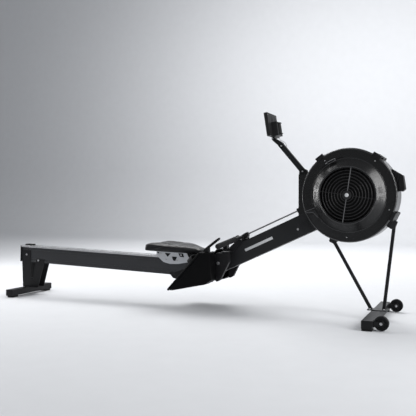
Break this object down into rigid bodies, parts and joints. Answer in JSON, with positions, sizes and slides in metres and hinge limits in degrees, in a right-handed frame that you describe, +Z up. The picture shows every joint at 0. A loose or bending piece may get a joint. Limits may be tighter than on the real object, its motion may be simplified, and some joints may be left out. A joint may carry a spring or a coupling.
{
  "type": "rowing machine",
  "caption": "Air-resistance rowing machine with a sliding seat on a rail, a chain-driven caged flywheel, adjustable footrests and a monitor on a folding arm.",
  "frame": {"origin": "on the floor, half way along the machine, in the middle plane of the rail and the feet", "axes": "+X from the tail of the rail to the flywheel, +Y to the rower's left, +Z up"},
  "size_m": [2.44, 0.608, 1.0929],
  "materials": {
    "rail_aluminium": "satin extruded",
    "track_steel": "brushed",
    "grey_paint": "satin powder coat",
    "dark_plastic": "fine moulded texture",
    "grille_plastic": "satin",
    "monitor_plastic": "fine moulded texture",
    "board_plastic": "fine moulded texture",
    "wheel_plastic": "satin",
    "roller_plastic": "smooth",
    "black_rubber": "matt",
    "button_rubber": "soft matt",
    "lead_rubber": "satin",
    "grip_foam": "closed-cell foam",
    "strap_webbing": "woven",
    "seat_skin": "smooth moulded skin on foam",
    "chain_steel": "nickel plated",
    "bolt_steel": "zinc plated",
    "fan_steel": "satin",
    "bar_steel": "satin",
    "carriage_steel": "satin",
    "screen_glass": "clear cover over a grey display"
  },
  "bodies": {
    "frame": {"rail": "rail_aluminium", "rail_track": "track_steel", "rail_end_cap": "dark_plastic", "rail_stops": "black_rubber", "rail_saddle": "grey_paint", "rear_leg": "grey_paint", "rear_cross_foot": "grey_paint", "foot_pads": "black_rubber", "main_beam": "grey_paint", "neck_cover": "dark_plastic", "chain_run": "chain_steel", "chain_guide": "dark_plastic", "housing_near_shell": "dark_plastic", "housing_far_shell": "dark_plastic", "fan_grille": "grille_plastic", "axle_carrier": "grey_paint", "fan_bearings": "bolt_steel", "housing_clips": "dark_plastic", "front_bumper": "dark_plastic", "front_leg_struts": "grey_paint", "front_cross_foot": "grey_paint", "wheel_axles": "bolt_steel", "foot_side_plates": "dark_plastic", "foot_cheeks": "dark_plastic", "footboards": "board_plastic", "foot_straps": "strap_webbing", "strap_buckles": "dark_plastic", "handle_rest": "dark_plastic", "arm_bracket": "dark_plastic", "frame_bolts": "bolt_steel"},
    "flywheel": {"flywheel": "fan_steel", "fan_axle": "bolt_steel"},
    "sprocket": {"sprocket": "chain_steel"},
    "damper": {"damper_ring": "dark_plastic"},
    "handle": {"handle_bar": "bar_steel", "handle_grips": "grip_foam", "handle_connector": "dark_plastic"},
    "arm": {"monitor_arm": "grey_paint", "arm_elbow": "dark_plastic", "arm_bolts": "bolt_steel", "monitor_lead": "lead_rubber"},
    "monitor": {"monitor_front": "monitor_plastic", "monitor_screen": "screen_glass", "monitor_back": "monitor_plastic", "device_holder": "dark_plastic"},
    "button_1": {"monitor_button_1": "button_rubber"},
    "button_2": {"monitor_button_2": "button_rubber"},
    "button_3": {"monitor_button_3": "button_rubber"},
    "seat": {"seat_pad": "seat_skin", "seat_base": "dark_plastic", "carriage_plates": "carriage_steel", "roller_axles": "bolt_steel"},
    "top_rollers_rear": {"top_rollers_rear": "roller_plastic"},
    "top_rollers_front": {"top_rollers_front": "roller_plastic"},
    "guide_rollers_rear": {"guide_rollers_rear": "roller_plastic"},
    "guide_rollers_front": {"guide_rollers_front": "roller_plastic"},
    "wheel_right": {"wheel_right": "wheel_plastic"},
    "wheel_left": {"wheel_left": "wheel_plastic"},
    "heel_cup_right": {"heel_cup_right": "board_plastic"},
    "heel_cup_left": {"heel_cup_left": "board_plastic"}
  },
  "joints": [
    {"name": "seat_slide", "type": "slide", "parent": "frame", "child": "seat", "axis": [0.9995, 0, -0.0311], "range_m": [-0.96, 0]},
    {"name": "top_rollers_rear_turn", "type": "hinge", "parent": "seat", "child": "top_rollers_rear", "pos_m": [-0.15872, 0, 0.30441], "axis": [0, 1, 0], "range_deg": [-3960, 30]},
    {"name": "top_rollers_front_turn", "type": "hinge", "parent": "seat", "child": "top_rollers_front", "pos_m": [-0.02478, 0, 0.30025], "axis": [0, 1, 0], "range_deg": [-3960, 30]},
    {"name": "guide_rollers_rear_turn", "type": "hinge", "parent": "seat", "child": "guide_rollers_rear", "pos_m": [-0.1258, 0, 0.26917], "axis": [0, 1, 0], "range_deg": [-30, 6150]},
    {"name": "guide_rollers_front_turn", "type": "hinge", "parent": "seat", "child": "guide_rollers_front", "pos_m": [-0.05383, 0, 0.26693], "axis": [0, 1, 0], "range_deg": [-30, 6150]},
    {"name": "flywheel_spin", "type": "hinge", "parent": "frame", "child": "flywheel", "pos_m": [0.947, 0, 0.643], "axis": [0, 1, 0], "continuous": true},
    {"name": "handle_pull", "type": "slide", "parent": "frame", "child": "handle", "axis": [-0.9613, 0, 0.2756], "range_m": [0, 1.1], "stiffness_N_per_m": 20, "springref_m": -0.5, "deforming": ["chain_run"]},
    {"name": "sprocket_turn", "type": "hinge", "parent": "frame", "child": "sprocket", "pos_m": [0.947, 0, 0.643], "axis": [0, 1, 0], "range_deg": [-1440, 20]},
    {"name": "damper_swing", "type": "hinge", "parent": "frame", "child": "damper", "pos_m": [0.947, 0, 0.643], "axis": [0, 1, 0], "range_deg": [-16, 16]},
    {"name": "arm_swing", "type": "hinge", "parent": "frame", "child": "arm", "pos_m": [0.689, 0, 0.773], "axis": [0, 1, 0], "range_deg": [-30, 20]},
    {"name": "monitor_tilt", "type": "hinge", "parent": "arm", "child": "monitor", "pos_m": [0.52129, 0, 0.95597], "axis": [0, 1, 0], "range_deg": [-20, 20], "deforming": ["monitor_lead"]},
    {"name": "button_1_press", "type": "slide", "parent": "monitor", "child": "button_1", "axis": [0.988, 0, 0.1547], "range_m": [0, 0.0015], "stiffness_N_per_m": 100, "springref_m": -0.002},
    {"name": "button_2_press", "type": "slide", "parent": "monitor", "child": "button_2", "axis": [0.988, 0, 0.1547], "range_m": [0, 0.0015], "stiffness_N_per_m": 100, "springref_m": -0.002},
    {"name": "button_3_press", "type": "slide", "parent": "monitor", "child": "button_3", "axis": [0.988, 0, 0.1547], "range_m": [0, 0.0015], "stiffness_N_per_m": 100, "springref_m": -0.002},
    {"name": "wheel_right_roll", "type": "hinge", "parent": "frame", "child": "wheel_right", "pos_m": [1.142, -0.273, 0.0375], "axis": [0, 1, 0], "continuous": true},
    {"name": "wheel_left_roll", "type": "hinge", "parent": "frame", "child": "wheel_left", "pos_m": [1.142, 0.273, 0.0375], "axis": [0, 1, 0], "continuous": true},
    {"name": "heel_cup_right_slide", "type": "slide", "parent": "frame", "child": "heel_cup_right", "axis": [0.6794, 0, 0.7337], "range_m": [-0.07, 0.035]},
    {"name": "heel_cup_left_slide", "type": "slide", "parent": "frame", "child": "heel_cup_left", "axis": [0.6794, 0, 0.7337], "range_m": [-0.07, 0.035]}
  ],
  "couplings": [
    {"joint": "top_rollers_rear_turn", "follows": "seat_slide", "rad_per_m": 71.429},
    {"joint": "top_rollers_front_turn", "follows": "seat_slide", "rad_per_m": 71.429},
    {"joint": "guide_rollers_rear_turn", "follows": "seat_slide", "rad_per_m": -111.11},
    {"joint": "guide_rollers_front_turn", "follows": "seat_slide", "rad_per_m": -111.11},
    {"joint": "sprocket_turn", "follows": "handle_pull", "rad_per_m": -22.573}
  ]
}
